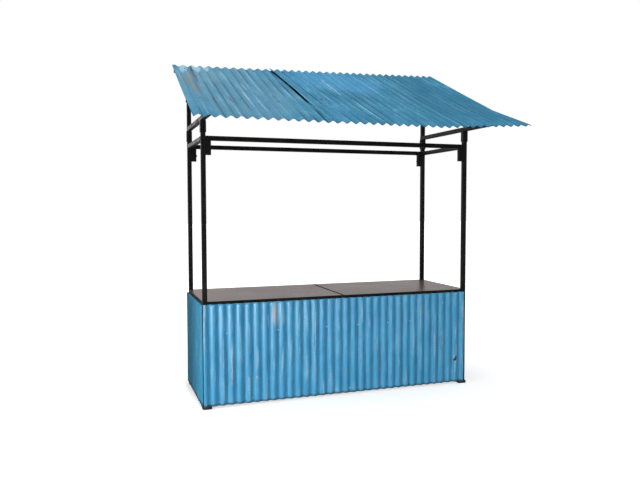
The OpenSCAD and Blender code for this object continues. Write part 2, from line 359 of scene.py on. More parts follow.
# %% [markdown]
# Run marks are the thin lines that rain and drips leave along a sheet. Noise that is much longer than wide
# gives them, cut off at a limit that depends on how much of the sheet they should cover.

# %% Node group: run marks
runs_group, takes, gives = new_group("run_marks", [
    ("Coords", "Vector", None), ("Width", "Float", 0.01), ("Length", "Float", 0.4), ("Cover", "Float", 0.4),
    ("Seed", "Float", 0.0)], [("Mask", "Float")])
tree = runs_group
wide = maths(tree, "DIVIDE", axis_of(tree, takes["Coords"], 0), takes["Width"])
long = maths(tree, "DIVIDE", axis_of(tree, takes["Coords"], 1), takes["Length"])
lines = put(tree, "CombineXYZ", {0: wide, 1: long, 2: takes["Seed"]}).outputs[0]
limit = maths(tree, "SUBTRACT", 0.74, times(tree, takes["Cover"], 0.4))
above = maths(tree, "SUBTRACT", cloud(tree, lines, 1.0, 2.0, 0.45), limit)
plug(tree, gives, {"Mask": stretch(tree, above, 0.0, 0.14)})


def run_lines(tree, coords, width, length, cover, seed):
    sockets = {"Coords": coords, "Width": width, "Length": length, "Cover": cover, "Seed": seed}
    return use(tree, runs_group, sockets)["Mask"]


# %% [markdown]
# Rust is never one brown. A noise picks its colour from a ramp that goes from dark brown to pale ochre.

# %% Node group: rust
rust_group, takes, gives = new_group("rust", [("Coords", "Vector", None), ("Size", "Float", 0.02)],
                                     [("Colour", "Color"), ("Mottle", "Float")])
tree = rust_group
mottle = cloud(tree, takes["Coords"], maths(tree, "DIVIDE", 1.0, takes["Size"]), 5.0, 0.65)
browns = put(tree, "ValToRGB", {0: mottle})
for at, colour in ((0.30, rgb(58, 38, 28)), (0.48, rgb(112, 74, 48)), (0.70, rgb(158, 118, 84))):
    browns.color_ramp.elements.new(at).color = colour
browns.color_ramp.elements[0].color = rgb(48, 32, 26)
browns.color_ramp.elements[-1].color = rgb(176, 142, 110)
plug(tree, gives, {"Colour": browns.outputs[0], "Mottle": mottle})

# %% [markdown]
# Paint wears off at corners first. The Bevel node gives the normal of a rounded corner: where it differs
# from the plain normal there is an edge, and noise breaks that edge up.

# %% Node group: rubbed edge
edge_group, takes, gives = new_group("rubbed_edge", [
    ("Coords", "Vector", None), ("Width", "Float", 0.004), ("Cover", "Float", 0.5)], [("Mask", "Float")])
tree = edge_group
rounded = put(tree, "Bevel", {"Radius": takes["Width"]}, samples=6).outputs[0]
plain = put(tree, "NewGeometry").outputs["Normal"]
turned = put(tree, "VectorMath", {0: rounded, 1: plain}, operation="DOT_PRODUCT").outputs["Value"]
bend = stretch(tree, maths(tree, "SUBTRACT", 1.0, turned), 0.01, 0.16)
limit = maths(tree, "SUBTRACT", 0.8, times(tree, takes["Cover"], 0.6))
above = maths(tree, "SUBTRACT", cloud(tree, takes["Coords"], 26.0, 4.0, 0.6), limit)
plug(tree, gives, {"Mask": times(tree, bend, stretch(tree, above, 0.0, 0.16))})

# %% [markdown]
# Dust settles on what faces up, and never evenly. Here it lies on the frame, and a group keeps it ready
# for other finishes.

# %% Node group: settled dust
dust_group, takes, gives = new_group("settled_dust", [("Coords", "Vector", None), ("Amount", "Float", 0.5)],
                                     [("Mask", "Float")])
tree = dust_group
up = axis_of(tree, put(tree, "NewGeometry").outputs["Normal"], 2)
patchy = stretch(tree, cloud(tree, takes["Coords"], 7.0, 5.0, 0.6), 0.3, 0.7, 0.45, 1.0)
plug(tree, gives, {"Mask": times(tree, stretch(tree, up, 0.2, 0.95), patchy, takes["Amount"])})

# %% [markdown]
# Paint from a brush has strokes along its way, blotches where it was laid on thicker, and small flecks.
# Three noises of different lengths make one tone, which leans the colour to a paler or a deeper one.

# %% Node group: brushed paint
brush_group, takes, gives = new_group("brushed_paint", [
    ("Coords", "Vector", None), ("Colour", "Color", None), ("Pale", "Color", None), ("Deep", "Color", None),
    ("Strength", "Float", 1.0)], [("Colour", "Color"), ("Strokes", "Float")])
tree = brush_group
strokes = cloud(tree, scaled(tree, takes["Coords"], (150.0, 5.0, 1.0)), 1.0, 3.0, 0.6)
blotch = cloud(tree, scaled(tree, takes["Coords"], (7.0, 3.2, 1.0)), 1.0, 3.0, 0.55)
flecks = cloud(tree, scaled(tree, takes["Coords"], (120.0, 40.0, 1.0)), 1.0, 4.0, 0.7)
tone = mix_values(tree, 0.45, mix_values(tree, 0.5, strokes, flecks), blotch)
painted = lay(tree, takes["Colour"], takes["Pale"], stretch(tree, tone, 0.5, 0.66), takes["Strength"])
painted = lay(tree, painted, takes["Deep"], stretch(tree, tone, 0.5, 0.34), takes["Strength"])
plug(tree, gives, {"Colour": painted, "Strokes": strokes})

# %% [markdown]
# The frame is painted satin black. A plain black would look like a hole in the picture, so the paint has
# a faint cloud of tone, a fine orange peel in its bump, grey rubbed corners with a few rusty chips, and
# dust on what faces up.

# %% Material: black frame paint
frame_black, tree, shader = new_material("frame_black")
spot = object_coords(tree)
tone = cloud(tree, spot, 9.0, 4.0, 0.6)
colour = mix_colours(tree, stretch(tree, tone, 0.3, 0.7), rgb(22, 22, 23), rgb(32, 32, 32))
brownish = stretch(tree, cloud(tree, spot, 3.5, 5.0, 0.65), 0.48, 0.68)
colour = lay(tree, colour, rgb(46, 40, 36), brownish, 0.4)
rubbed = use(tree, edge_group, {"Coords": spot, "Width": 0.003, "Cover": 0.5})["Mask"]
colour = lay(tree, colour, rgb(70, 66, 62), rubbed, 0.25)
chips = stretch(tree, cloud(tree, spot, 34.0, 3.0, 0.6), 0.68, 0.74)
colour = lay(tree, colour, use(tree, rust_group, {"Coords": spot, "Size": 0.01})["Colour"], chips, 0.5)
dust = use(tree, dust_group, {"Coords": spot, "Amount": 0.25})["Mask"]
colour = lay(tree, colour, rgb(120, 113, 106), dust)
satin = stretch(tree, maths(tree, "ADD", tone, dust), 0.2, 1.0, 0.34, 0.65)
peel = mix_values(tree, chips, cloud(tree, spot, 420.0, 2.0), 0.2)
plug(tree, shader, {"Base Color": colour, "Roughness": satin, "Normal": bumped(tree, peel, 0.12, 0.002),
                    "Specular IOR Level": 0.036})
print("made", frame_black.name)

# %% [markdown]
# The sheets carry the look of this stall. Their paint was brushed on along the waves and has been in the
# weather since: it is paler on the crests, where it was rubbed and where a painted highlight lies, darker in
# the troughs, with dirt and painted shade, and thin tan lines run down where it has worn to the primer.
# The meshes below store the distance across and along each sheet as a UV map and the height of the wave
# as an attribute, so one recipe serves walls and roof, and the stains that the photograph shows are put at
# their own places.

# %% Weathered coat of a sheet
def sheet_coords(tree):
    """The place on the flat sheet, and the height on the wave from -1 to 1."""
    flat = put(tree, "UVMap", uv_map="sheet").outputs[0]
    return flat, put(tree, "Attribute", attribute_name="crest").outputs["Fac"]


def weathered_coat(tree, flat, crest, tones, look):
    """Brushed paint with troughs darkened by dirt and painted shade, ridges paled by wear and a painted
    highlight, and thin lines worn to the primer.
    """
    base, pale, deep, trough_dirt_and_shade_colour, ridge_wear_and_highlight_colour = tones
    brush = use(tree, brush_group, {"Coords": flat, "Colour": base, "Pale": pale, "Deep": deep,
                                    "Strength": 0.8})
    speckle = stretch(tree, cloud(tree, scaled(tree, flat, (420.0, 90.0, 1.0)), 1.0, 3.0, 0.65), 0.4, 0.62)
    trough, ridge = stretch(tree, crest, -0.66, -0.96), stretch(tree, crest, 0.4, 0.97)
    # The troughs are darkened: dirt, and painted shade in the valleys.
    trough_dirt_and_shade = times(tree, trough, run_lines(tree, flat, 0.05, look["trails"], 0.8, 3.0))
    colour = lay(tree, brush["Colour"], trough_dirt_and_shade_colour, trough_dirt_and_shade, look["trough_dirt_and_shade"])
    # The ridges are paled: wear, and a painted highlight on the crests.
    ridge_wear_and_highlight = times(tree, ridge, speckle, run_lines(tree, flat, 0.03, 0.6 * look["trails"], 0.58, 7.0))
    colour = lay(tree, colour, ridge_wear_and_highlight_colour, ridge_wear_and_highlight, look["ridge_wear_and_highlight"])
    thin = run_lines(tree, flat, 0.0035, 0.16, look["lines"], 11.0)
    thin = times(tree, thin, speckle, stretch(tree, crest, -0.1, 0.5))
    rust = use(tree, rust_group, {"Coords": flat, "Size": 0.03})["Colour"]
    colour = lay(tree, colour, mix_colours(tree, 0.3, rgb(190, 184, 168), rust), thin, 0.7)
    return colour, thin, speckle, rust, brush["Strokes"]


print("coat ready")

# %% [markdown]
# Stains lie on the coat. A painted image could carry them, but patches made of noise stay sharp from near
# and need no file. Each is of one kind: its colour, how much rust is in it, how strong it is and how grainy.
# Last, the part of a sheet that lies under the next one is painted near black, dirt and painted shade, and
# each sheet is darker towards its foot.

# %% Recipe for painted sheets
def stained(tree, flat, colour, worn, speckle, rust, marks):
    """Adds stains, which are (across, along, half width, half length, kind). Rusty ones are worn too."""
    for across, along, half_w, half_l, (stain, rusty, strength, grain) in marks:
        spot = use(tree, patch_group, {"Coords": flat, "Centre": (across, along, 0.0), "Ragged": 0.55,
                                       "Half Size": (half_w, half_l, 1.0), "Grain": 0.5 / half_w})["Mask"]
        spot = times(tree, spot, mix_values(tree, grain, 1.0, speckle))
        colour = lay(tree, colour, mix_colours(tree, rusty, stain, rust), spot, strength)
        if rusty > 0.0:
            worn = maths(tree, "MAXIMUM", worn, spot)
    return colour, worn


def sheet_paint(name, tones, look, marks):
    """Blue paint on a corrugated sheet. tones are its base, pale and deep colours, its trough colour of dirt
    and painted shade, and its ridge colour of wear and painted highlight.

    In look, the ridge, trough and lines entries are shares, trails is a length and the foot entry is the
    height in metres below which the sheet is darker."""
    material, tree, shader = new_material(name)
    flat, crest = sheet_coords(tree)
    colour, worn, speckle, rust, strokes = weathered_coat(tree, flat, crest, tones, look)
    colour, worn = stained(tree, flat, colour, worn, speckle, rust, marks)
    # Under the next sheet the paint goes near black: dirt and painted shade in the lap.
    under_lap_dirt_and_shade = put(tree, "Attribute", attribute_name="lap").outputs["Fac"]
    colour = lay(tree, colour, rgb(18, 22, 26), under_lap_dirt_and_shade, 0.93)
    # Each sheet is darker towards its foot, below a ragged line.
    ragged = times(tree, cloud(tree, scaled(tree, flat, (40.0, 1.0, 1.0)), 1.0, 2.0), 0.03)
    height = maths(tree, "SUBTRACT", axis_of(tree, flat, 1), ragged)
    dark_foot = stretch(tree, height, look["dark_foot"], look["dark_foot"] - 0.016)
    colour = lay(tree, colour, rgb(36, 44, 46), dark_foot, 0.6)
    satin = stretch(tree, strokes, 0.3, 0.7, look["rough"] - 0.06, look["rough"] + 0.08)
    relief = mix_values(tree, worn, strokes, 0.15)
    plug(tree, shader, {"Base Color": colour, "Roughness": mix_values(tree, worn, satin, 0.8),
                        "Normal": bumped(tree, relief, 0.25, 0.001), "Specular IOR Level": look["gloss"]})
    print("made", name, "with", len(marks), "stains")
    return material


cream = (rgb(210, 206, 192), 0.1, 0.85, 0.5)
tan = (rgb(150, 142, 116), 0.12, 0.72, 0.5)
brown = (rgb(94, 84, 72), 0.2, 0.8, 0.4)
pale_blue = (rgb(186, 226, 246), 0.0, 0.8, 0.55)
clear_blue = (rgb(92, 166, 214), 0.0, 0.6, 0.3)
teal = (rgb(48, 112, 142), 0.0, 0.55, 0.2)
film = (rgb(136, 172, 188), 0.0, 0.28, 0.25)
pale_line = (rgb(176, 206, 218), 0.0, 0.6, 0.4)
haze = (rgb(196, 204, 202), 0.0, 0.5, 0.7)
# Painted shade for the torn hole: near black, with a trace of rust.
hole_shade = (rgb(12, 14, 16), 0.05, 0.97, 0.0)
soot = (rgb(36, 62, 76), 0.0, 0.7, 0.3)
print("recipe and stains ready")

# %% [markdown]
# The front is the best kept: a clear blue with a worn pale spot under the counter and a few thin drips.
# Its right sheet is torn near the end post, and the rim of the hole is painted near black: painted shade of
# the dark inside, with a trace of rust.

# %% Material: wall paint
wall_tones = (rgb(64, 150, 193), rgb(98, 174, 213), rgb(48, 130, 174), rgb(38, 104, 138), rgb(170, 208, 226))
wall_look = {"ridge_wear_and_highlight": 0.85, "trough_dirt_and_shade": 0.42, "trails": 0.5, "lines": 0.42, "rough": 0.31, "gloss": 0.5,
             "dark_foot": 0.036}
wall_marks = [
    (0.640, 0.790, 0.034, 0.120, haze), (0.633, 0.800, 0.010, 0.090, cream), (0.645, 0.745, 0.005, 0.06, tan),
    (0.575, 0.740, 0.008, 0.070, haze), (0.715, 0.760, 0.010, 0.080, haze), (0.610, 0.82, 0.005, 0.05, tan),
    (1.403, 0.60, 0.007, 0.10, brown), (1.484, 0.42, 0.006, 0.13, brown), (1.853, 0.61, 0.007, 0.29, tan),
    (2.098, 0.75, 0.007, 0.11, tan), (2.308, 0.45, 0.006, 0.10, brown), (2.472, 0.335, 0.005, 0.075, cream),
    (0.468, 0.249, 0.007, 0.010, cream), (2.316, 0.818, 0.006, 0.012, pale_blue),
    # The pale line at 0.006 is a painted highlight down the left edge of the front sheet.
    (0.006, 0.70, 0.005, 0.20, pale_line), (0.245, 0.36, 0.005, 0.16, cream),
    (0.170, 0.42, 0.006, 0.20, pale_line), (1.010, 0.62, 0.005, 0.20, cream), (1.640, 0.33, 0.005, 0.15, tan),
    (0.930, 0.30, 0.005, 0.14, pale_line), (2.455, 0.242, 0.009, 0.012, hole_shade),
    (2.463, 0.255, 0.010, 0.014, hole_shade), (2.471, 0.270, 0.008, 0.013, hole_shade),
]
wall_blue = sheet_paint("wall_blue", wall_tones, wall_look, wall_marks)

# %% [markdown]
# The ends have the front's paint, duller and less worn, in darker and greyer colours that are painted
# shade. The roof takes the sun and the rain: it is matt, its troughs hold long trails of dirt and painted
# shade, a grey film lies on its left sheet, and rust starts near its edges.

# %% Materials: end paint and roof paint
# The end colours are darker and greyer than the front's: painted shade.
end_shaded_tones = (rgb(58, 134, 168), rgb(86, 158, 192), rgb(44, 116, 150), rgb(36, 92, 120), rgb(130, 184, 210))
end_look = {"ridge_wear_and_highlight": 0.4, "trough_dirt_and_shade": 0.5, "trails": 0.5, "lines": 0.3, "rough": 0.45, "gloss": 0.1,
            "dark_foot": 0.05}
end_shaded_blue = sheet_paint("end_shaded_blue", end_shaded_tones, end_look, [])
roof_tones = (rgb(66, 138, 172), rgb(104, 172, 206), rgb(42, 108, 140), rgb(30, 70, 92), rgb(172, 214, 232))
roof_look = {"ridge_wear_and_highlight": 0.75, "trough_dirt_and_shade": 0.9, "trails": 1.5, "lines": 0.46, "rough": 0.62, "gloss": 0.04,
             "dark_foot": -0.02}
roof_marks = [
    (0.50, 0.85, 0.56, 1.05, film), (0.26, 1.45, 0.26, 0.32, film), (1.56, 1.40, 0.46, 0.52, clear_blue),
    (2.50, 0.90, 0.42, 0.95, teal), (0.105, 1.15, 0.024, 0.42, tan), (0.050, 1.20, 0.014, 0.22, tan),
    (0.165, 0.95, 0.012, 0.25, tan), (0.178, 1.45, 0.015, 0.36, brown), (0.182, 1.62, 0.012, 0.12, soot),
    (0.228, 0.50, 0.010, 0.16, brown), (0.363, 0.48, 0.009, 0.16, brown), (0.451, 0.25, 0.008, 0.08, tan),
    (0.776, 0.62, 0.008, 0.20, brown), (1.209, 0.66, 0.018, 0.05, brown), (1.975, 1.10, 0.012, 0.32, tan),
    (2.045, 1.06, 0.013, 0.30, brown), (2.120, 1.00, 0.010, 0.28, soot),
    (1.875, 1.20, 0.010, 0.40, pale_line), (1.474, 1.20, 0.009, 0.30, pale_line),
    (0.523, 0.65, 0.008, 0.16, pale_line), (0.588, 1.05, 0.008, 0.14, pale_line),
    # The pale_blue patches near the rear edge of the left sheet are painted highlight.
    (1.955, 0.45, 0.008, 0.40, pale_line), (0.11, 1.66, 0.05, 0.17, pale_blue),
    (0.235, 1.69, 0.045, 0.14, pale_blue), (0.33, 1.70, 0.04, 0.11, pale_blue),
]
roof_blue = sheet_paint("roof_blue", roof_tones, roof_look, roof_marks)

# %% [markdown]
# Nobody paints the back of such a sheet. It stays dull zinc with its large crystals, and rust has crept
# along the troughs. Noise would be too soft for crystals, so they are the cells of a Voronoi texture.

# %% Material: bare zinc back
zinc_back, tree, shader = new_material("zinc_back")
flat, crest = sheet_coords(tree)
flakes = put(tree, "TexVoronoi", {"Vector": flat, "Scale": 70.0}).outputs["Color"]
flakes = put(tree, "SeparateColor", {0: flakes}).outputs[0]
colour = mix_colours(tree, flakes, rgb(92, 96, 99), rgb(128, 132, 134))
rust = use(tree, rust_group, {"Coords": flat, "Size": 0.04})
creep = times(tree, run_lines(tree, flat, 0.03, 0.3, 0.45, 5.0), stretch(tree, crest, -0.3, 0.9, 0.1, 0.9))
dull = stretch(tree, flakes, 0.0, 1.0, 0.42, 0.58)
plug(tree, shader, {"Base Color": lay(tree, colour, rust["Colour"], creep),
                    "Metallic": mix_values(tree, creep, 0.6, 0.0),
                    "Roughness": mix_values(tree, creep, dull, 0.85),
                    "Normal": bumped(tree, rust["Mottle"], 0.2, 0.001)})
print("made", zinc_back.name)

# %% [markdown]
# The counter boards look like plywood with a smooth brown film: a warm grey with a slight sheen, faint
# grain showing through along the board, and the fine scratches and rubbed spots of use. Beside the joint
# between the boards the top is darkened, grime and painted shade, and their cut edges are painted near
# black, which also paints the shade inside the joint.

# %% Material: counter film
counter_film, tree, shader = new_material("counter_film")
spot = object_coords(tree)
cloudy = cloud(tree, spot, 3.0, 4.0, 0.6)
fibres = cloud(tree, scaled(tree, spot, (7.0, 260.0, 260.0)), 1.0, 4.0, 0.6)
tone = mix_values(tree, 0.6, cloudy, fibres)
colour = mix_colours(tree, stretch(tree, tone, 0.32, 0.68), rgb(92, 71, 63), rgb(110, 88, 79))
cuts = run_lines(tree, scaled(tree, spot, (0.05, 1.0, 1.0)), 0.004, 0.006, 0.1, 2.0)
colour = lay(tree, colour, rgb(128, 118, 110), cuts, 0.35)
rubbed = use(tree, edge_group, {"Coords": spot, "Width": 0.004, "Cover": 0.7})["Mask"]
colour = lay(tree, colour, rgb(60, 48, 40), rubbed, 0.6)
joint_x = (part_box("counter_board_left")[1][0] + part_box("counter_board_right")[0][0]) / 2
surface = put(tree, "NewGeometry").outputs
beside = maths(tree, "ABSOLUTE", maths(tree, "SUBTRACT", axis_of(tree, surface["Position"], 0), joint_x))
# Beside the joint the top is darkened: grime and painted shade.
joint_dirt_and_shade = times(tree, stretch(tree, beside, 0.016, 0.007), stretch(tree, cloudy, 0.3, 0.6, 0.5, 1.0))
colour = lay(tree, colour, rgb(34, 29, 26), joint_dirt_and_shade)
# Faces that stand upright are painted near black: sealed cut edges and painted shade in the joint.
cut_edges_and_joint_shade = stretch(tree, maths(tree, "ABSOLUTE", axis_of(tree, surface["Normal"], 2)), 0.7, 0.3)
colour = lay(tree, colour, rgb(14, 12, 11), cut_edges_and_joint_shade)
rough = mix_values(tree, joint_dirt_and_shade, stretch(tree, tone, 0.3, 0.7, 0.24, 0.36), 0.9)
plug(tree, shader, {"Base Color": colour, "Roughness": rough, "Normal": bumped(tree, fibres, 0.08, 0.001),
                    "Specular IOR Level": 0.06})
print("made", counter_film.name)

# %% [markdown]
# The pads under the posts are black plates that stand on dirt, so their lower rim is greyed. The height of
# a point decides how much dirt it gets, which saves a mask painted by hand.

# %% Material: foot plate
foot_black, tree, shader = new_material("foot_black")
spot = object_coords(tree)
grit = cloud(tree, spot, 60.0, 4.0, 0.65)
soiled = times(tree, stretch(tree, axis_of(tree, spot, 2), 0.016, 0.0), stretch(tree, grit, 0.35, 0.65))
colour = mix_colours(tree, stretch(tree, grit, 0.3, 0.7), rgb(18, 18, 19), rgb(32, 31, 31))
plug(tree, shader, {"Base Color": lay(tree, colour, rgb(104, 96, 86), soiled, 0.6),
                    "Roughness": stretch(tree, grit, 0.3, 0.7, 0.55, 0.8),
                    "Normal": bumped(tree, grit, 0.3, 0.002)})
print("made", foot_black.name)

# %% [markdown]
# The screws are zinc with a smear of the sheet's paint: on the front they are mostly bare and bright, on
# the ends and the roof they were painted over. One function makes both, since they differ only in how much
# paint is left. Their washers are grey rubber.

# %% Materials: screw zinc and washer rubber
def screw_finish(name, paint, cover):
    """Zinc with the sheet's paint over part of it: cover goes from bare at 0 to all painted at 1."""
    material, tree, shader = new_material(name)
    spot = object_coords(tree)
    smear = stretch(tree, maths(tree, "ADD", cloud(tree, spot, 90.0, 3.0), cover), 0.85, 1.05)
    plug(tree, shader, {"Base Color": mix_colours(tree, smear, rgb(188, 196, 200), paint),
                        "Metallic": mix_values(tree, smear, 0.9, 0.0),
                        "Roughness": stretch(tree, cloud(tree, spot, 300.0), 0.3, 0.7, 0.3, 0.55)})
    print("made", name)
    return material


screw_zinc = screw_finish("screw_zinc", rgb(128, 186, 216), 0.45)
screw_blue = screw_finish("screw_blue", rgb(84, 146, 180), 0.75)

washer_rubber, tree, shader = new_material("washer_rubber")
grit = cloud(tree, object_coords(tree), 400.0, 3.0)
plug(tree, shader, {"Base Color": mix_colours(tree, grit, rgb(30, 31, 33), rgb(60, 62, 64)),
                    "Roughness": stretch(tree, grit, 0.3, 0.7, 0.6, 0.85)})
print("made", washer_rubber.name)

# %% [markdown]
# The tubes, rails, sockets and boards of the CAD already have the right shape. They only need a finish,
# which goes into the material slots of each node's object.

# %% Finish the CAD nodes
def finish_of(node):
    if node.startswith("counter_board"):
        return counter_film
    if node == "foot_pads":
        return foot_black
    return frame_black


for name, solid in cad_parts.items():
    solid.data.materials.clear()
    solid.data.materials.append(finish_of(name))
print("finished", len(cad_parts), "CAD nodes")

# %% [markdown]
# A corrugated sheet is a grid of points pushed into waves. The grid is made at the middle of the metal,
# with many points to a wave so that it shades smoothly, and a Solidify modifier gives it its thickness
# and a second material on the back. A Wave or Array modifier could make a straight sheet too, but the
# roof fans out, twists and sags, and a formula for each point does all of them in the same way.

# %% Helper: a corrugated sheet
def clipped(value):
    return min(1.0, max(0.0, value))


def steps(low, high, size):
    count = max(1, round((high - low) / size))
    return [low + (high - low) * i / count for i in range(count + 1)]


def corrugated_sheet(name, node, across, along, point, crest, thickness, paint, cut=None,
                     lap_from=math.inf):
    """point(a, b) places a point of the sheet, crest(a, b) is 1 on a ridge and -1 in a valley.

    Beyond lap_from the sheet lies under the next one, where it is painted dark, with dirt and painted shade.
    cut(a, b) is a hole."""
    mesh = bpy.data.meshes.new(name)
    verts = [point(a, b) for b in along for a in across]
    wide = len(across)
    faces = []
    for j in range(len(along) - 1):
        for i in range(wide - 1):
            middle = ((across[i] + across[i + 1]) / 2, (along[j] + along[j + 1]) / 2)
            if cut is None or not cut(*middle):
                k = j * wide + i
                faces.append((k, k + 1, k + 1 + wide, k + wide))
    mesh.from_pydata(verts, [], faces)
    flat = mesh.uv_layers.new(name="sheet")
    for loop in mesh.loops:
        j, i = divmod(loop.vertex_index, wide)
        flat.data[loop.index].uv = (across[i], along[j])
    ridge = mesh.attributes.new("crest", "FLOAT", "POINT")
    ridge.data.foreach_set("value", [crest(a, b) for b in along for a in across])
    # The lap attribute marks where the sheet is painted dark under the next one: dirt and painted shade.
    dark_within = 0.012
    lap_dirt_and_shade_layer = mesh.attributes.new("lap", "FLOAT", "POINT")
    lap_dirt_and_shade_layer.data.foreach_set("value", [clipped((a - lap_from) / dark_within) for _ in along for a in across])
    mesh.shade_smooth()
    mesh.materials.append(paint)
    mesh.materials.append(zinc_back)
    sheet = put_in_scene(name, mesh)
    skin = sheet.modifiers.new("thickness", "SOLIDIFY")
    skin.thickness = thickness
    skin.offset = 0.0
    skin.material_offset = 1
    skin.material_offset_rim = 0
    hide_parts(node)
    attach(sheet, "root")
    print("%s: %d points, %d faces" % (name, len(verts), len(faces)))


print("sheet helper ready")

# %% [markdown]
# The front is closed by two sheets that lap near the middle. Their waves stand upright, 76 mm apart and
# 18 mm deep, with the valleys against the frame. Thin sheet is never quite true, so a slow noise bulges
# it outwards by a millimetre or two, and the free edge of the upper sheet stands off a little at the lap.

# %% Waves of the walls
pitch, depth, gauge = 0.0766, 0.018, 0.001
phase, end_phase = 0.015, 0.045
fullness, loose_by = 0.8, 0.0016


def rolled(turn):
    """A wave with slightly fuller ridges and steeper flanks than a cosine, as rolls press it."""
    return math.tanh(fullness * math.cos(turn)) / math.tanh(fullness)


def wall_crest(d, z=0.0):
    return rolled(2 * math.pi * (d - phase) / pitch)


def end_crest(d, z=0.0):
    return rolled(2 * math.pi * (d - end_phase) / pitch)


def wall_out(d, crest):
    """How far the middle of the metal stands in front of the frame."""
    return depth / 2 + (depth - gauge) / 2 * crest(d)


def bulge(d, z, seed):
    return loose_by * (0.5 + 0.5 * noise.noise((d * 2.6, z * 3.4, seed)))


print("waves %.1f mm apart" % (pitch * 1000))

# %% [markdown]
# Near the right end something has torn a small hole into the front. Its rim was pushed outwards, so the
# metal rises towards it. A Boolean modifier could cut it, but it leaves poor faces in a thin sheet: here the
# rows of the grid are closer beside the hole, and the faces inside it are left out.

# %% Front sheets
tear_at, tear_half = (2.463, 0.255), (0.0070, 0.019)
tear_lean = math.radians(-24)
tear_low, tear_high = 0.205, 0.305
lip, lip_reach = 0.006, 1.2
lap_gap, lap_spring, spring_reach, end_trim = 0.0012, 0.003, 0.03, 0.004
points_a_wave, row, fine_row = 18, 0.02, 0.004
wave_step = pitch / points_a_wave

wall_low, wall_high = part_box("front_sheet_left")[0][2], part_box("front_sheet_left")[1][2]
left_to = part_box("front_sheet_left")[1][0] - corner.x
right_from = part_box("front_sheet_right")[0][0] - corner.x
right_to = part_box("front_sheet_right")[1][0] - corner.x - end_trim


def tear(d, z):
    """Below 1 inside the torn hole, which leans to the right."""
    x, y = (d - tear_at[0]), (z - tear_at[1])
    across = x * math.cos(tear_lean) - y * math.sin(tear_lean)
    along = x * math.sin(tear_lean) + y * math.cos(tear_lean)
    return math.hypot(across / tear_half[0], along / tear_half[1])


def front_left_point(d, z):
    return place(d, -wall_out(d, wall_crest) - bulge(d, z, 1.0), z)


def front_right_point(d, z):
    off = lap_gap + lap_spring * max(0.0, 1.0 - (d - right_from) / spring_reach)
    rim = lip * max(0.0, 1.0 - max(0.0, tear(d, z) - 1.0) / lip_reach)
    return place(d, -wall_out(d, wall_crest) - off - bulge(d, z, 2.0) - rim, z)


rows = steps(wall_low, wall_high, row)
tear_rows = (steps(wall_low, tear_low, row) + steps(tear_low + fine_row, tear_high, fine_row)
             + steps(tear_high + row, wall_high, row))
corrugated_sheet("blue_front_left", "front_sheet_left", steps(0.0, left_to, wave_step), rows,
                 front_left_point, wall_crest, gauge, wall_blue, lap_from=right_from)
corrugated_sheet("blue_front_right", "front_sheet_right",
                 steps(right_from, right_to, wave_step), tear_rows, front_right_point, wall_crest, gauge,
                 wall_blue, cut=lambda d, z: tear(d, z) < 1.0)

# %% [markdown]
# The two ends of the base carry one sheet each. It is the same sheet, turned to face left or right. Beside
# the front left post the left one is pressed in a little, so that no light shows through the corner.

# %% End sheets
end_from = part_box("side_sheet_left")[0][1] - corner.y
end_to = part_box("side_sheet_left")[1][1] - corner.y
pressed_by, pressed_reach, loose_from = 0.0032, 0.02, 0.1


def end_left_point(d, z):
    pressed = pressed_by * max(0.0, 1.0 - (d - end_from) / pressed_reach)
    loose = min(1.0, (d - end_from) / loose_from)
    return place(pressed - wall_out(d, end_crest) - bulge(d, z, 3.0) * loose, d, z)


def end_right_point(d, z):
    return place(stall_w + wall_out(d, end_crest) + bulge(d, z, 4.0), d, z)


end_steps = steps(end_from, end_to, wave_step)
corrugated_sheet("blue_end_left", "side_sheet_left", end_steps[::-1], rows, end_left_point,
                 end_crest, gauge, end_shaded_blue)
corrugated_sheet("blue_end_right", "side_sheet_right", end_steps, rows, end_right_point,
                 end_crest, gauge, end_shaded_blue)

# %% [markdown]
# The roof is three sheets side by side. It rises to the back, more so at the right, hangs a little in
# the middle, and its waves fan out because the sheets were not laid quite square. Its front right corner
# is bent up. Modifiers could bend flat sheets like this, but a formula puts each wave where the photograph
# has it. The shape is a plain surface and the height of a sheet above it.

# %% Roof waves
roof_w, roof_run = 2.877, 1.763
eave_y, eave_z = -0.754, 2.414
eave_left, eave_right, rear_left, rear_right = 0.170, 0.167, 0.118, 0.131
rise_left, rise_right, roof_sag, corner_lift = 0.724, 0.790, 0.006, 0.045
seam_left, seam_left_rear, seam_right, lap = 1.045, 0.990, 2.014, 0.038
roof_wave, roof_gauge = 0.00925, 0.00109
# Place of the first ridge and distance between ridges, each at the eave and at the rear.
left_ridge, left_pitch = (0.038, 0.022), (0.0784, 0.0848)
other_ridge, other_pitch = (0.0860, -0.0143), (0.0747, 0.0781)
# The left sheet's waves are flatter from this share of the slope on.
left_flatter, flatter_from = 0.92, 0.4


def between(a, b, share):
    return a + (b - a) * share


def roof_waves(sheet, s):
    """First ridge, distance between ridges and share of the full depth, at the share s of the slope."""
    if sheet == "left":
        full = between(1.0, left_flatter, min(1.0, s / flatter_from))
        return between(*left_ridge, s), between(*left_pitch, s), full
    return between(*other_ridge, s), between(*other_pitch, s), 1.0


def roof_crest(sheet, a, b):
    first, step, _ = roof_waves(sheet, b / roof_run)
    return math.cos(2 * math.pi * (a - first) / step)


def seam_at(b):
    """The left edge of the middle sheet, which was laid askew."""
    return between(seam_left, seam_left_rear, b / roof_run)


print("roof %.3f wide, %.3f deep" % (roof_w, roof_run))

# %% [markdown]
# At the first lap the middle sheet has sprung open, and the photograph shows a dark gap there. The gap
# starts about a quarter up the slope. Before that the two sheets nest, and behind the front purlin the
# left sheet hangs down beside the lap.

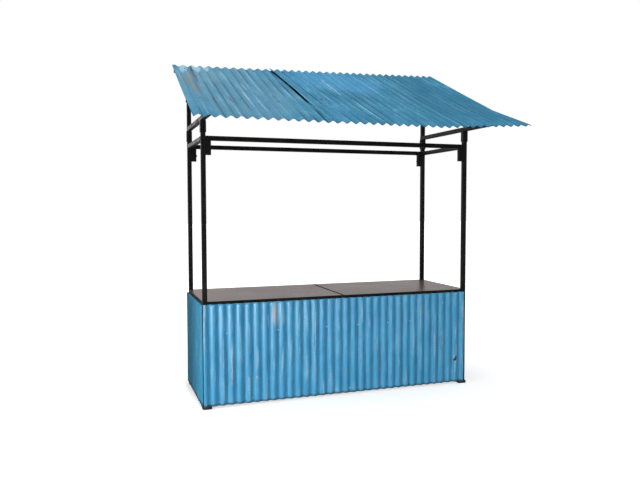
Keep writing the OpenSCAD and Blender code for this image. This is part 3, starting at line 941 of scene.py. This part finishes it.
# %% Roof surface
front_purlin_y = -0.220
purlin_share = (front_purlin_y - eave_y) / roof_run
spring, spring_w, spring_from, spring_over = 0.018, 0.13, 0.22, 0.28
rear_spring, rear_over, sheet_gap = 0.3, 0.2, 0.0002
sink, sink_w, sink_to = 0.009, 0.2, 0.90
nest_w, nest_to, nest_over = 0.06, 0.36, 0.14
tuck, tuck_w = 1.4 * roof_gauge, 0.004
turn_left, turn_right = (rear_left - eave_left) / roof_run, (eave_right - rear_right) / roof_run


def roof_height(sheet, a, b):
    """How far the metal of a sheet stands above the plain surface of the roof."""
    s, seam = b / roof_run, seam_at(b)
    full = roof_waves(sheet, s)[2]
    height = roof_wave * (full * roof_crest(sheet, a, b) + full - 1.0)
    if sheet == "middle":
        near = max(0.0, 1.0 - (a - seam) / spring_w)
        back = clipped((s - spring_from) / spring_over) * min(1.0, rear_spring + (1.0 - s) / rear_over)
        height += roof_gauge + sheet_gap + spring * near ** 1.5 * back
    if sheet == "left":
        span = clipped((s - purlin_share) / (sink_to - purlin_share))
        height -= sink * clipped(1.0 - (seam - a) / sink_w) ** 2 * math.sin(math.pi * span)
        nested = clipped((nest_to - s) / nest_over) * (1.0 - (seam - a) / nest_w)
        under = roof_height("middle", a, b) - tuck
        height = between(height, under, clipped(nested))
        if a > seam - tuck_w:
            height = min(height, under)
    return height


def roof_point(sheet, a, b):
    """The middle of the metal, a metres across the roof and b metres up its slope, inside the CAD's box."""
    u, s = a / roof_w, b / roof_run
    x = between(between(-eave_left, stall_w + eave_right, u), between(-rear_left, stall_w + rear_right, u), s)
    y = eave_y + s * roof_run + roof_w * u * (turn_left + (turn_right - turn_left) * u / 2)
    t = (y - eave_y) / roof_run
    z = eave_z + between(rise_left, rise_right, x / stall_w) * t - 4 * roof_sag * t * (1 - t)
    z += corner_lift * max(0.0, 1 - t / purlin_share) * max(0.0, (a - seam_right) / (roof_w - seam_right))
    point = place(x, y, z + roof_height(sheet, a, b))
    limits = zip(point, *cad_box)
    return Vector([min(max(c, low + roof_gauge / 2), high - roof_gauge) for c, low, high in limits])


print("front purlin at %.2f of the slope" % purlin_share)

# %% [markdown]
# The left edge of the middle sheet isn't parallel to the waves, so the grids of the two sheets at this lap
# are squeezed or widened a little towards the back. The left one reaches by a tongue under its neighbour.

# %% Roof sheets
slope_row, roof_wave_count, points_a_ridge, tongue = 0.03, 38, 16, 0.10
up_slope = steps(0.0, roof_run, slope_row)
roof_step = roof_w / roof_wave_count / points_a_ridge


def left_across(a, b):
    return a * (seam_at(b) + tongue) / (seam_left + tongue)


def middle_across(a, b):
    return between(seam_at(b), seam_right, (a - seam_left) / (seam_right - seam_left))


def right_across(a, b):
    return a


def roof_sheet(side, low, high, across, lap_from=math.inf):
    corrugated_sheet("blue_roof_" + side, "roof_sheet_" + side,
                     steps(low, high, roof_step), up_slope,
                     lambda a, b: roof_point(side, across(a, b), b),
                     lambda a, b: roof_crest(side, across(a, b), b), roof_gauge, roof_blue, lap_from=lap_from)


roof_sheet("left", 0.0, seam_left + tongue, left_across, lap_from=seam_left)
roof_sheet("middle", seam_left, seam_right, middle_across)
roof_sheet("right", seam_right - lap, roof_w, right_across)

# %% [markdown]
# The small parts are stacks of rings. Each is built with bmesh, upright and at the origin, and is then
# stamped into a larger shape at its place. That keeps a whole set of screws or caps one object.

# %% Helpers for small parts
def join_rings(shape, rings, material_index=0):
    """Walls between the rings, and a lid on the last one."""
    for low, high in zip(rings, rings[1:]):
        count = len(low)
        for i in range(count):
            face = shape.faces.new((low[i], low[(i + 1) % count], high[(i + 1) % count], high[i]))
            face.material_index = material_index
    shape.faces.new(rings[-1]).material_index = material_index


def stack(shape, sides, profile, material_index=0):
    """A turned shape. profile gives the radius and height of its rings."""
    turns = [2 * math.pi * i / sides for i in range(sides)]
    join_rings(shape, [[shape.verts.new((radius * math.cos(a), radius * math.sin(a), height)) for a in turns]
                       for radius, height in profile], material_index)


def facing(out):
    return out.to_track_quat("Z", "Y").to_matrix().to_4x4()


def stamp(shape, made, at, turn):
    """Adds a small shape, turned and moved to its place, to a larger one."""
    bmesh.ops.transform(made, matrix=Matrix.Translation(at) @ turn, verts=made.verts)
    part = bpy.data.meshes.new("stamp")
    made.to_mesh(part)
    made.free()
    shape.from_mesh(part)
    bpy.data.meshes.remove(part)


def finished_piece(name, shape, finishes, smooth=True):
    mesh = bpy.data.meshes.new(name)
    shape.to_mesh(mesh)
    shape.free()
    if smooth:
        mesh.shade_smooth()
    for finish in finishes:
        mesh.materials.append(finish)
    piece = put_in_scene(name, mesh)
    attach(piece, "root")
    print("%s: %d faces" % (name, len(mesh.polygons)))


print("small part helpers ready")

# %% [markdown]
# Sheets are held by screws with a hexagon head, a round flange and a rubber washer. Each is turned to face
# out of the sheet, tilted and spun a little by seeded dice, because no two were driven home alike. The
# screws of the front, of the ends and of the roof are one piece each.

# %% Helper: roofing screws
# Radius and height of the rings.
washer_rings = ((0.0070, -0.001), (0.0078, 0.0004), (0.0074, 0.0020))
flange_rings = ((0.0072, 0.0018), (0.0072, 0.0026), (0.0055, 0.0034))
head_rings = ((0.0046, 0.0030), (0.0046, 0.0072), (0.0040, 0.0080))
round_sides, askew = 18, 0.06


def add_screw(shape, at, out, spin):
    """Washer, flange and hexagon head, standing out of the sheet along out."""
    made = bmesh.new()
    stack(made, round_sides, washer_rings, 1)
    stack(made, round_sides, flange_rings)
    stack(made, 6, head_rings)
    stamp(shape, made, at, facing(out) @ Matrix.Rotation(spin, 4, "Z"))


def screw_set(name, places, seed, finish):
    dice = random.Random(seed)
    shape = bmesh.new()
    for at, out in places:
        tilt = Vector((dice.uniform(-1, 1), dice.uniform(-1, 1), dice.uniform(-1, 1)))
        add_screw(shape, at, (out + askew * tilt).normalized(), dice.uniform(0, 1))
    finished_piece(name, shape, (finish, washer_rubber), smooth=False)


print("screw helper ready")

# %% [markdown]
# On the front the screws sit in the valleys, on the rail behind the middle and on the bottom rail, where
# the photograph shows them. The ends get the same rows, and the roof is screwed through its ridges
# into the two purlins.

# %% Place the screws
left_way, right_way, front_way = Vector((-1, 0, 0)), Vector((1, 0, 0)), Vector((0, -1, 0))
roof_way = Vector((0, -0.38, 0.92))
middle_row, bottom_row = 0.655, 0.068
end_screw_places = (0.160, 0.466, 0.772)

front_places = []
for z, waves in ((middle_row, (2, 8, 14, 18, 22, 25)), (bottom_row, (5, 17))):
    for wave in waves:
        d = phase + (wave + 0.5) * pitch
        metal = front_left_point(d, z) if d < right_from else front_right_point(d, z)
        front_places.append((metal + front_way * gauge / 2, front_way))
screw_set("front_screws", front_places, 5, screw_zinc)

end_places = []
for z in (middle_row, bottom_row):
    for d in end_screw_places:
        end_places.append((end_left_point(d, z) + left_way * gauge / 2, left_way))
        end_places.append((end_right_point(d, z) + right_way * gauge / 2, right_way))
screw_set("end_screws", end_places, 6, screw_blue)

roof_places = []
for purlin_y in (front_purlin_y, stall_d - tube_w / 2):
    b = purlin_y - eave_y - tube_w / 2
    for sheet, waves in (("left", (1, 5, 9)), ("middle", (14, 18, 22)), ("right", (26, 30, 34))):
        first, step, _ = roof_waves(sheet, b / roof_run)
        for wave in waves:
            metal = roof_point(sheet, first + wave * step, b)
            roof_places.append((metal + Vector((0, 0, roof_gauge / 2)), roof_way))
screw_set("roof_screws", roof_places, 7, screw_blue)

# %% [markdown]
# The tubes of the frame are welded. A weld is a row of small overlapping ripples in the corner between two
# tubes, so each bead is a thin tube swept along the joint whose thickness swells and shrinks. The outer
# faces under the sheets get none: there a maker grinds them flat.

# %% Helper: weld beads
bead_thick, ripple, bead_inset, wander = 0.0024, 0.0012, 0.003, 0.0002
side_names = (("left", "right"), ("front", "back"), ("low", "top"))


def add_bead(shape, start, end, dice):
    """A bead from start to end that swells by a fifth in ripples and thins out at its ends."""
    run = end - start
    turn = run.to_track_quat("Z", "Y").to_matrix()
    count = max(6, round(run.length / ripple))
    rings = []
    for i in range(count + 1):
        swell = bead_thick * (0.78 + 0.22 * abs(math.sin(i * math.pi / 3))) * dice.uniform(0.93, 1.07)
        swell *= min(1.0, 0.35 + 4.0 * min(i, count - i) / count)
        aside = Vector((dice.uniform(-1, 1), dice.uniform(-1, 1), 0)) * wander
        middle = start + run * (i / count) + turn @ aside
        rings.append([shape.verts.new(middle + turn @ Vector((swell * math.cos(a), swell * math.sin(a), 0)))
                      for a in (math.radians(60 * k) for k in range(6))])
    join_rings(shape, rings)
    shape.faces.new(rings[0][::-1])


def weld_end(shape, node, axis, at_high, skip, dice):
    """Beads round one end of a straight tube along axis 0, 1 or 2. skip names faces such as "front"."""
    low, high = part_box(node)
    one, two = [k for k in range(3) if k != axis]
    for face_axis, run_axis in ((one, two), (two, one)):
        for side in (0, 1):
            if side_names[face_axis][side] in skip:
                continue
            start, end = Vector(), Vector()
            start[axis] = end[axis] = high[axis] if at_high else low[axis]
            start[face_axis] = end[face_axis] = (low, high)[side][face_axis]
            start[run_axis], end[run_axis] = low[run_axis] + bead_inset, high[run_axis] - bead_inset
            add_bead(shape, start, end, dice)


print("weld helper ready")

# %% [markdown]
# Every rail and beam runs between two posts, so it has a weld at both ends. The canopy bars are welded to
# the sockets under them, and the uprights stand on the bars.

# %% Weld the frame
bar_seat = 2.4795
dice = random.Random(11)
welds = bmesh.new()
for node, axis, skip in (
        ("bottom_rail_front", 0, ("front",)), ("mid_rail_front", 0, ("front",)),
        ("top_rail_front", 0, ("front", "top")), ("bottom_rail_rear", 0, ()), ("top_rail_rear", 0, ("top",)),
        ("head_beam_front", 0, ("low",)), ("head_beam_rear", 0, ("low",)), ("bottom_rail_left", 1, ("left",)),
        ("mid_rail_left", 1, ("left",)), ("top_rail_left", 1, ("left", "top")),
        ("bottom_rail_right", 1, ("right",)), ("mid_rail_right", 1, ("right",)),
        ("top_rail_right", 1, ("right", "top")), ("top_rail_middle", 1, ("top",)), ("head_beam_left", 1, ()),
        ("head_beam_right", 1, ())):
    for at_high in (False, True):
        weld_end(welds, node, axis, at_high, skip, dice)
for node in ("upright_left", "upright_right"):
    weld_end(welds, node, 2, False, (), dice)
for x in (0.0, tube_w, stall_w - tube_w, stall_w):
    for y in (0.0, stall_d - tube_w):
        start = place(x, y - bead_inset, bar_seat)
        add_bead(welds, start, place(x, y + tube_w + bead_inset, bar_seat), dice)
finished_piece("weld_beads", welds, (frame_black,))

# %% [markdown]
# Open tube ends would fill with rain, so they are closed with black plastic caps: a plate with rounded
# corners, a chamfered rim and a shallow dish, built from a stack of shrinking outlines.

# %% Material and helper: tube caps
cap_plastic, tree, shader = new_material("cap_plastic")
spot = object_coords(tree)
grain = cloud(tree, spot, 700.0, 3.0)
scuff = stretch(tree, cloud(tree, spot, 60.0, 4.0, 0.65), 0.52, 0.66)
colour = mix_colours(tree, grain, rgb(14, 14, 15), rgb(26, 26, 27))
plug(tree, shader, {"Base Color": lay(tree, colour, rgb(84, 82, 80), scuff, 0.4),
                    "Roughness": mix_values(tree, scuff, 0.45, 0.7), "Specular IOR Level": 0.2,
                    "Normal": bumped(tree, grain, 0.15, 0.0005)})
cap_profile = ((0.0, -0.0002), (0.0, 0.0018), (0.0016, 0.0030), (0.0060, 0.0030), (0.0080, 0.0018))
cap_round, dish_round = 0.004, 0.0012


def cap_outline(shape, wide, deep, radius, height):
    points = []
    for corner_x, corner_y, first in ((1, 1, 0), (-1, 1, 90), (-1, -1, 180), (1, -1, 270)):
        for k in range(5):
            a = math.radians(first + 22.5 * k)
            points.append((corner_x * (wide / 2 - radius) + radius * math.cos(a),
                           corner_y * (deep / 2 - radius) + radius * math.sin(a), height))
    return [shape.verts.new(point) for point in points]


def add_cap(shape, at, out, wide, deep):
    """A cap that closes a tube end at the point at. out points away from the tube, its width lies along X."""
    made = bmesh.new()
    rings = []
    for cut, height in cap_profile:
        radius = max(dish_round, cap_round - cut)
        rings.append(cap_outline(made, wide - 2 * cut, deep - 2 * cut, radius, height))
    join_rings(made, rings)
    stamp(shape, made, at, Matrix((right_way, out.cross(right_way), out)).transposed().to_4x4())


print("made", cap_plastic.name)

# %% [markdown]
# Caps go on the two ends of each canopy bar and under the four stubs in the corners of the head frame.

# %% Cap the tubes
caps = bmesh.new()
for node in ("canopy_bar_left", "canopy_bar_right"):
    low, high = Vector(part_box(node)[0]), Vector(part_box(node)[1])
    middle = (low + high) / 2
    add_cap(caps, Vector((middle.x, low.y, middle.z)), front_way, tube_w, tube_w)
    add_cap(caps, Vector((middle.x, high.y, middle.z)), -front_way, tube_w, tube_w)
stub_w, stub_low = 0.046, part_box("corner_stubs")[0][2] - corner.z
for x in (tube_w + stub_w / 2, stall_w - tube_w - stub_w / 2):
    for y in (tube_w / 2, stall_d - tube_w / 2):
        add_cap(caps, place(x, y, stub_low), Vector((0, 0, -1)), stub_w, tube_w)
finished_piece("tube_caps", caps, (cap_plastic,))

# %% [markdown]
# A bolt holds each of the two rear stubs to its post. The photograph shows the head of the left one as a
# small bump on the side of the stub. It is a larger cousin of the roofing screws, so it is built the same
# way.

# %% Bolts on the rear stubs
bolt_up = 0.052
bolt_washer_rings = ((0.0100, -0.0002), (0.0105, 0.0004), (0.0105, 0.0016), (0.0098, 0.0020))
bolt_head_rings = ((0.0082, 0.0018), (0.0082, 0.0072), (0.0074, 0.0084))
bolts = bmesh.new()
for x, out in ((tube_w + stub_w, right_way), (stall_w - tube_w - stub_w, left_way)):
    made = bmesh.new()
    stack(made, 24, bolt_washer_rings)
    stack(made, 6, bolt_head_rings)
    stamp(bolts, made, place(x, stall_d - tube_w / 2, stub_low + bolt_up), facing(out))
finished_piece("stub_bolts", bolts, (frame_black,))
